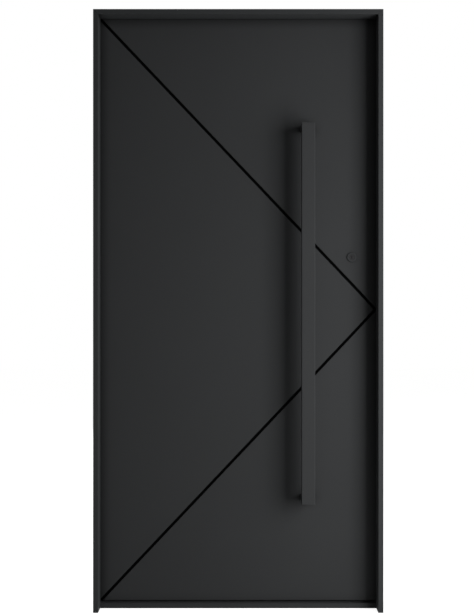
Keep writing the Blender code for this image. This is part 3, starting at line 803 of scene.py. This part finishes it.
# The inside lever: a 19 mm stainless tube bent to a right angle on a mandrel, with a welded and
# ground end, brushed along its grip. It turns in its cover and is held on the square spindle by
# a grub screw under its neck.
LEVER_BEND_RADIUS = 0.016
LEVER_BEND_STEPS = 16
LEVER_SIDES = 48
LEVER_END_EDGE = 0.0015
LEVER_END_STEPS = 4
LEVER_SCREW_OUT = 0.014
WELD_DISTANCE = 0.00001
lever_low, lever_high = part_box("lever_handle")
lever_radius = (lever_high.z - lever_low.z) / 2
lever_z = (lever_high.z + lever_low.z) / 2
neck_x = lever_high.x - lever_radius
grip_y = lever_high.y - lever_radius
bend_middle = Vector((neck_x - LEVER_BEND_RADIUS, grip_y - LEVER_BEND_RADIUS, lever_z))
bpy.ops.object.select_all(action="DESELECT")
bpy.ops.mesh.primitive_circle_add(
    vertices=LEVER_SIDES,
    radius=lever_radius,
    fill_type="NGON",
    location=(neck_x, lever_low.y, lever_z),
    rotation=(-math.pi / 2, 0, 0),
)
lever = bpy.context.object
lever.name = "lever"
settle(lever)
bpy.ops.object.mode_set(mode="EDIT")
bpy.ops.mesh.select_all(action="SELECT")
bpy.ops.mesh.extrude_region_move(
    TRANSFORM_OT_translate={"value": (0, bend_middle.y - lever_low.y, 0)}
)
bpy.ops.mesh.spin(
    steps=LEVER_BEND_STEPS, angle=-math.pi / 2, center=bend_middle, axis=(0, 0, 1)
)
bpy.ops.mesh.extrude_region_move(
    TRANSFORM_OT_translate={"value": (lever_low.x - bend_middle.x, 0, 0)}
)
bpy.ops.mesh.select_all(action="SELECT")
bpy.ops.mesh.remove_doubles(threshold=WELD_DISTANCE)
bpy.ops.mesh.normals_make_consistent(inside=False)
bpy.ops.object.mode_set(mode="OBJECT")
soften(lever, LEVER_END_EDGE, LEVER_END_STEPS)
smooth(lever)
lever.data.materials.append(steel_across)
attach(lever, "leaf")
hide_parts("lever_handle")
copies(
    grub_screw,
    "lever_grub_screw",
    ((neck_x, lever_low.y + LEVER_SCREW_OUT, lever_low.z),),
    FACING_DOWN,
    "leaf",
)
bpy.data.objects.remove(grub_screw)


# The hinge screws: countersunk stainless heads, four in each flap in two staggered rows, their
# rims a hair proud of the plate. They show on both flaps while the leaf is open.
HEAD_RADIUS = 0.0042
HEAD_RISE = 0.00025
HEAD_DEPTH = 0.0008
HEAD_SOCKET = 0.002
ROW_OFFSET = 0.008
HEAD_STEPS_Z = (-0.038, -0.013, 0.013, 0.038)
screw_steel = brushed_steel(
    "stainless_steel_screw", along=1, colour="B4B4B1", dark_colour="9A9A97"
)
flap_screw = socket_screw(
    "flap_screw", HEAD_RADIUS, HEAD_RISE, HEAD_DEPTH, HEAD_SOCKET, screw_steel
)
leaf_edge_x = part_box("leaf_stile_hinge")[0].x
jamb_face_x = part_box("jamb_hinge_inner")[1].x
for level in ("lower", "middle", "upper"):
    for body, face_x, turn in (
        ("leaf", leaf_edge_x, FACING_LEFT),
        ("frame", jamb_face_x, FACING_RIGHT),
    ):
        low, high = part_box(f"hinge_{body}_{level}")
        flap_y = (low.y + leaf_back_y) / 2
        hinge_z = (low.z + high.z) / 2
        places = [
            (face_x, flap_y + ROW_OFFSET * (-1) ** number, hinge_z + step)
            for number, step in enumerate(HEAD_STEPS_Z)
        ]
        copies(flap_screw, f"hinge_{body}_{level}_screw", places, turn, body)


# The screws of the faceplate and of the strike plate: the same countersunk stainless heads, one
# near each end of a plate, driven into the leaf's edge and into the lock jamb.
PLATE_SCREW_INSET = 0.011
for node_name, body, turn, side in (
    ("lock_faceplate", "leaf", FACING_RIGHT, 1),
    ("strike_plate", "frame", FACING_LEFT, 0),
):
    low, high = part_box(node_name)
    face_x = (low, high)[side].x
    middle_y = (low.y + high.y) / 2
    levels = (low.z + PLATE_SCREW_INSET, high.z - PLATE_SCREW_INSET)
    places = [(face_x, middle_y, z) for z in levels]
    copies(flap_screw, node_name + "_screw", places, turn, body)


# The threshold's screws: four of the same heads along the inner rail, which fix it to the floor.
# The closed leaf covers them.
SCREW_PLACES_X = (-0.42, -0.14, 0.14, 0.42)
low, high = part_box("threshold_inner")
middle_y = (low.y + high.y) / 2
places = [(x, middle_y, high.z) for x in SCREW_PLACES_X]
copies(flap_screw, "threshold_screw", places, FACING_UP, "frame")
bpy.data.objects.remove(flap_screw)


# The covers of the frame's wall fixings: flat plastic caps pressed into the rebate of each jamb,
# with a shallow ring, in the frame's colour.
CAP_RADIUS = 0.0075
CAP_RISE = 0.0005
CAP_EDGE = 0.0002
CAP_SIDES = 40
CAP_RING = 0.0015
RING_DEPTH = 0.0002
CUTTER_HEIGHT = 0.001
CAP_LEVELS = (0.42, 0.84, 1.48, 1.99)
# The mould leaves a texture about 0.2 mm wide; it is drawn at 1.1 mm
CAP_MOTTLE = 0.0011
fixing_cap = round_blank("fixing_cap", CAP_RADIUS, CAP_RISE, CAP_SIDES)
soften(fixing_cap, CAP_EDGE)
ring_cutter = round_blank("ring_cutter", CAP_RADIUS - CAP_RING, CUTTER_HEIGHT, CAP_SIDES)
ring_cutter.data.transform(Matrix.Translation((0, 0, CAP_RISE - RING_DEPTH)))
cut_away(fixing_cap, ring_cutter)


def cap_plastic():
    """Moulded dark grey plastic with a fine mottle."""
    material, tree, shader, place = material_of(
        "moulded_polypropylene_cap", roughness=0.5, specular=0.4
    )
    mottle = add_node(
        tree, "ShaderNodeTexNoise", {"Scale": 1 / CAP_MOTTLE, "Detail": 2.0}, {"Vector": place}
    )
    tone = add_node(
        tree,
        "ShaderNodeMix",
        {"data_type": "RGBA", MIX_A: linear("2E3031"), MIX_B: linear("353738")},
        {0: mottle.outputs["Fac"]},
    )
    tree.links.new(tone.outputs[MIX_RESULT], shader.inputs["Base Color"])
    return material


fixing_cap.data.materials.append(cap_plastic())
for node_name, turn, side in (
    ("jamb_hinge_inner", FACING_RIGHT, 1),
    ("jamb_lock_inner", FACING_LEFT, 0),
):
    low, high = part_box(node_name)
    face_x = (low, high)[side].x
    middle_y = (low.y + high.y) / 2
    places = [(face_x, middle_y, z) for z in CAP_LEVELS]
    copies(fixing_cap, node_name + "_cap", places, turn, "frame")
bpy.data.objects.remove(fixing_cap)
